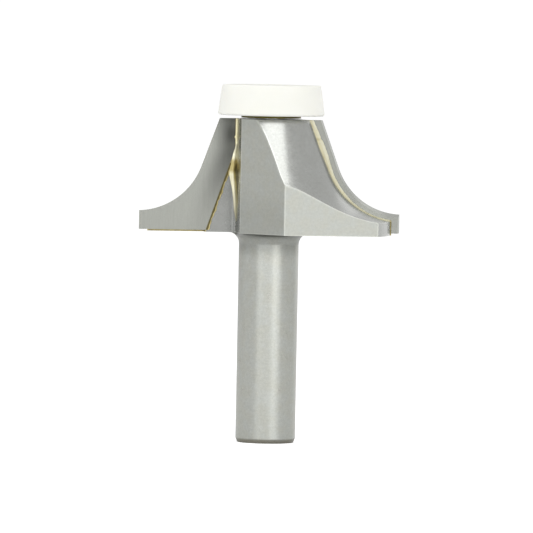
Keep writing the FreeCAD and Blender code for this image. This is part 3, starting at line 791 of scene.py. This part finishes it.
braze_parts = [corner_fillet(), joint_line(), back_bead(), seat_film(True), seat_film(False)]
tarnish_and_shade = []
for body, dark in braze_parts:
    first_end, last_end = (np.full(dark.shape[1], dark[row].mean()) for row in (0, -1))
    tarnish_and_shade.append(np.concatenate((first_end, dark.ravel(), last_end)))
tarnish_and_shade = np.concatenate(tarnish_and_shade)
for number, turn_sign in ((1, -1), (2, 1)):
    half_turn = np.array([turn_sign, turn_sign, 1])
    bodies = [(points * half_turn, quads) for (points, quads), dark in braze_parts]
    braze = make_piece("braze_run_%d" % number, bodies, silver_braze, tarnish_and_shade)
    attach(braze, "cutter")
    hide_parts("braze_seam_%d" % number)


# Guide bearing
# Shielded ball bearing of hardened steel: two ground races, seven lapped balls in a nylon crown
# cage, and a stamped shield pressed into each end of the outer race.

BOSS_HEIGHT = 0.25
BEARING_WIDTH = 4.978
BEARING_BORE = 4.7625
BEARING_OUTSIDE = 12.7
BEARING_BOTTOM = HEAD_TOP + BOSS_HEIGHT
BEARING_TOP = BEARING_BOTTOM + BEARING_WIDTH
BEARING_MIDDLE = BEARING_BOTTOM + BEARING_WIDTH / 2
BALL_COUNT = 7
PITCH_RADIUS = (BEARING_BORE + BEARING_OUTSIDE) / 4
BALL_RADIUS = 0.6 * (BEARING_OUTSIDE - BEARING_BORE) / 4
BALL_SIDES = 64
BALL_CIRCLES = 33
GAP_SHADE_REACH = (5.2, 5.6)
GAP_SHADE_HEIGHT = (BEARING_BOTTOM + 0.55, BEARING_BOTTOM + 0.7)

bearing_steel, shader, w = new_material("bearing_steel")
px, py, pz = w.place()[1:]
rings = w.group(grinding_lines, w.turned_place(px, py, pz, 3.0, 14.0))
race = w.blend(rings["Fine"], (0.36, 0.36, 0.355, 1), (0.48, 0.48, 0.47, 1))
# painted shade, dark and brownish, on the outer race's lower lip in the gap under the ring
gap_shade_colour = w.blend(rings["Broad"], (0.09, 0.075, 0.018, 1), (0.16, 0.14, 0.04, 1))
gap_shade = w.times(w.ramp(w.reach(px, py), *GAP_SHADE_REACH), w.ramp(pz, *GAP_SHADE_HEIGHT, 1.0, 0.0))
w.put(shader["Base Color"], w.blend(gap_shade, race, gap_shade_colour))
w.put(shader["Roughness"], w.line(rings["Broad"], 0.10, w.line(gap_shade, 0.2, 0.14)))
w.put(shader["Normal"], w.bump(rings["Fine"], 0.2, 0.003))
dress(["bearing_inner_race", "bearing_outer_race"], bearing_steel)


def plain_metal(name, clouds, colours, roughness, relief, metallic=1.0):
    """Plain metal with no marks of its own.

    The two clouds of the blasted grain drive its colour, from dark to light, and its roughness,
    which is a span times the cloud plus a start; relief is the strength and height of the bump.
    """
    material, shader, w = new_material(name, metallic)
    grain = w.group(blasted_grain, w.place()[0])
    w.put(shader["Base Color"], w.blend(grain[clouds[0]], *colours))
    w.put(shader["Roughness"], w.line(grain[clouds[1]], *roughness))
    w.put(shader["Normal"], w.bump(grain["Grain"], *relief))
    return material


shield_steel = plain_metal("shield_steel", ("Grain", "Patches"),
                           ((0.33, 0.33, 0.32, 1), (0.44, 0.44, 0.43, 1)), (0.15, 0.28), (0.2, 0.005))
dress(["bearing_shield_lower", "bearing_shield_upper"], shield_steel)

ball_steel, shader, w = new_material("ball_steel")
haze = w.noise(w.place()[0], 2.6, 2, 0.5)
w.put(shader["Base Color"], w.blend(haze, (0.52, 0.52, 0.515, 1), (0.60, 0.60, 0.595, 1)))
w.put(shader["Roughness"], w.line(haze, 0.05, 0.05))
dress(["bearing_ball_%d" % number for number in range(1, BALL_COUNT + 1)], ball_steel)

# balls: circles of latitude from pole to pole
latitude = np.linspace(-math.pi / 2, math.pi / 2, BALL_CIRCLES)[None, :]
ball_x = BALL_RADIUS * np.cos(latitude)
ball_z = BEARING_MIDDLE + BALL_RADIUS * np.sin(latitude)
for number in range(1, BALL_COUNT + 1):
    turn = 2 * math.pi * (number - 1) / BALL_COUNT
    centre = (PITCH_RADIUS * math.cos(turn), PITCH_RADIUS * math.sin(turn))
    ball_body = turned_body(ball_x, ball_z, BALL_SIDES, centre)
    ball = make_piece("lapped_ball_%d" % number, [ball_body], ball_steel)
    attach(ball, "ball_%d" % number)
    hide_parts("bearing_ball_%d" % number)

cage_nylon, shader, w = new_material("cage_nylon", 0.0)
place = w.place()[0]
clouds = w.noise(place, 0.7, 3, 0.5)
w.put(shader["Base Color"], w.blend(clouds, (0.56, 0.51, 0.38, 1), (0.66, 0.61, 0.48, 1)))
w.put(shader["Roughness"], w.line(clouds, 0.15, 0.38))
w.put(shader["Normal"], w.bump(w.noise(place, 6.0, 2, 0.5), 0.15, 0.006))
dress(["ball_cage"], cage_nylon)


# Guide ring
# White nylon, turned from bar to a slight taper with rounded edges, and pressed over the bearing.
# It is a little creamy, and its turned skin has faint rings.

RING_BOTTOM = HEAD_TOP + 0.77
RING_TOP = BEARING_TOP + 2.04
RING_BOTTOM_RADIUS = 11.4
RING_TOP_RADIUS = 10.5
RING_TAPER = math.atan((RING_BOTTOM_RADIUS - RING_TOP_RADIUS) / (RING_TOP - RING_BOTTOM))
RING_BORE = BEARING_OUTSIDE / 2
RING_MOUTH = 4.75
RING_CHAMFER = 0.2
LOWER_ROUND = 0.5
UPPER_ROUND = 0.25
ROUND_POINTS = 13
RING_SIDES = 256

white_nylon, shader, w = new_material("white_nylon", 0.0)
place, px, py, pz = w.place()
rings = w.group(grinding_lines, w.turned_place(px, py, pz, 1.0, 6.0))
clouds = w.noise(place, 0.26, 3, 0.5)
w.put(shader["Base Color"], w.blend(clouds, (0.825, 0.825, 0.765, 1), (0.86, 0.86, 0.81, 1)))
w.put(shader["Roughness"], w.line(rings["Broad"], 0.15, 0.36))
shader["Subsurface Weight"].default_value = 0.25
shader["Subsurface Radius"].default_value = (1.0, 0.95, 0.8)
shader["Subsurface Scale"].default_value = 1.5 * MM
w.put(shader["Normal"], w.bump(rings["Fine"], 0.25, 0.01))
dress(["guide_ring"], white_nylon)


def round_points(radius, corner_x, level, low, high, side):
    """Round of the ring's outline that touches the taper and a flat end."""
    centre_x = corner_x - radius * (1 - side * math.sin(RING_TAPER)) / math.cos(RING_TAPER)
    angle = np.linspace(low, high, ROUND_POINTS)
    return centre_x + radius * np.cos(angle), level - side * radius + radius * np.sin(angle)


low_x, low_z = round_points(LOWER_ROUND, RING_BOTTOM_RADIUS, RING_BOTTOM, -math.pi / 2, RING_TAPER, -1)
high_x, high_z = round_points(UPPER_ROUND, RING_TOP_RADIUS, RING_TOP, RING_TAPER, math.pi / 2, 1)
ring_x = np.concatenate(((RING_BORE, RING_BORE + RING_CHAMFER), low_x, high_x,
                         (RING_MOUTH + RING_CHAMFER, RING_MOUTH, RING_MOUTH, RING_BORE)))
ring_z = np.concatenate(((RING_BOTTOM + RING_CHAMFER, RING_BOTTOM), low_z, high_z,
                         (RING_TOP, RING_TOP - RING_CHAMFER, BEARING_TOP, BEARING_TOP)))
ring_body = turned_body(ring_x[None, :], ring_z[None, :], RING_SIDES)
ring = make_piece("turned_ring", [ring_body], white_nylon)
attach(ring, "guide")
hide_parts("guide_ring")


# Washer and screw
# A plain washer and a black button-head screw with a hexagon socket clamp the inner race. The
# screw's thread is rolled, and its head is cold formed.

WASHER_THICKNESS = 0.3
SEAT = BEARING_TOP + WASHER_THICKNESS
SCREW_RADIUS = 3.175 / 2
SCREW_LENGTH = 6.35
SCREW_TIP = SEAT - SCREW_LENGTH
TIP_RADIUS = 1.25
HEAD_RADIUS = 3.0
HEAD_RIM = 0.35
RIM_BREAK = 0.08
DOME_HEIGHT = 1.25
DOME_RADIUS = (HEAD_RADIUS ** 2 + DOME_HEIGHT ** 2) / (2 * DOME_HEIGHT)
DOME_CENTRE = SEAT + HEAD_RIM + DOME_HEIGHT - DOME_RADIUS
SOCKET_FLATS = 0.99
SOCKET_BREAK = 0.06
SOCKET_RIM = 1.32
SOCKET_DEPTH = 0.95
SOCKET_FLOOR = SEAT + HEAD_RIM + DOME_HEIGHT - SOCKET_DEPTH
THREAD_PITCH = 0.635
THREAD_DEPTH = 0.30
SCREW_SIDES = 192
THREAD_POINTS = 130
DOME_POINTS = 14

washer_steel = plain_metal("washer_steel", ("Patches", "Grain"),
                           ((0.42, 0.42, 0.41, 1), (0.52, 0.52, 0.50, 1)), (0.2, 0.25), (0.2, 0.005))
dress(["retaining_washer"], washer_steel)
black_steel = plain_metal("black_steel", ("Patches", "Grain"),
                          ((0.035, 0.035, 0.036, 1), (0.065, 0.064, 0.062, 1)), (0.2, 0.32),
                          (0.3, 0.006), metallic=0.6)
dress(["retaining_screw"], black_steel)

# thread: a helical groove, its phase being the height in pitches less the share of a turn
angle = np.linspace(0, 2 * math.pi, SCREW_SIDES, endpoint=False)[:, None]
thread_z = np.linspace(SCREW_TIP + 0.3, SEAT - 0.15, THREAD_POINTS)[None, :] + 0 * angle
phase = (thread_z / THREAD_PITCH - angle / (2 * math.pi)) % 1
fade = share(thread_z, SEAT - 0.4, SEAT - 0.8) * share(thread_z, SCREW_TIP, SCREW_TIP + 0.5)
thread_x = SCREW_RADIUS - THREAD_DEPTH * fade * np.clip(1.15 - np.abs(2.6 * phase - 1.3), 0, 1)

# head: a dome down to the socket's mouth, a hexagon whose reach is its flats over the cosine
sixth = math.pi / 3
hexagon = SOCKET_FLATS / np.cos((angle + sixth / 2) % sixth - sixth / 2)
dome_x = np.linspace(HEAD_RADIUS, SOCKET_RIM, DOME_POINTS)[None, :] + 0 * angle
dome_x = np.concatenate((dome_x, hexagon + SOCKET_BREAK), 1)
dome_z = DOME_CENTRE + np.sqrt(DOME_RADIUS ** 2 - dome_x ** 2)

# outline from the tip's middle over the thread, the seat, the rim and the dome to the socket
level = 0 * angle
screw_x = np.concatenate((
    level, level + TIP_RADIUS, thread_x, level + SCREW_RADIUS, level + HEAD_RADIUS - RIM_BREAK,
    level + HEAD_RADIUS, dome_x, hexagon, hexagon, level), 1)
screw_z = np.concatenate((
    level + SCREW_TIP, level + SCREW_TIP, thread_z, level + SEAT, level + SEAT,
    level + SEAT + RIM_BREAK, dome_z, dome_z[:, -1:] - 0.05, level + SOCKET_FLOOR,
    level + SOCKET_FLOOR), 1)
screw_body = turned_body(screw_x, screw_z, SCREW_SIDES)
screw = make_piece("button_screw", [screw_body], black_steel)
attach(screw, "cutter")
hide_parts("retaining_screw")
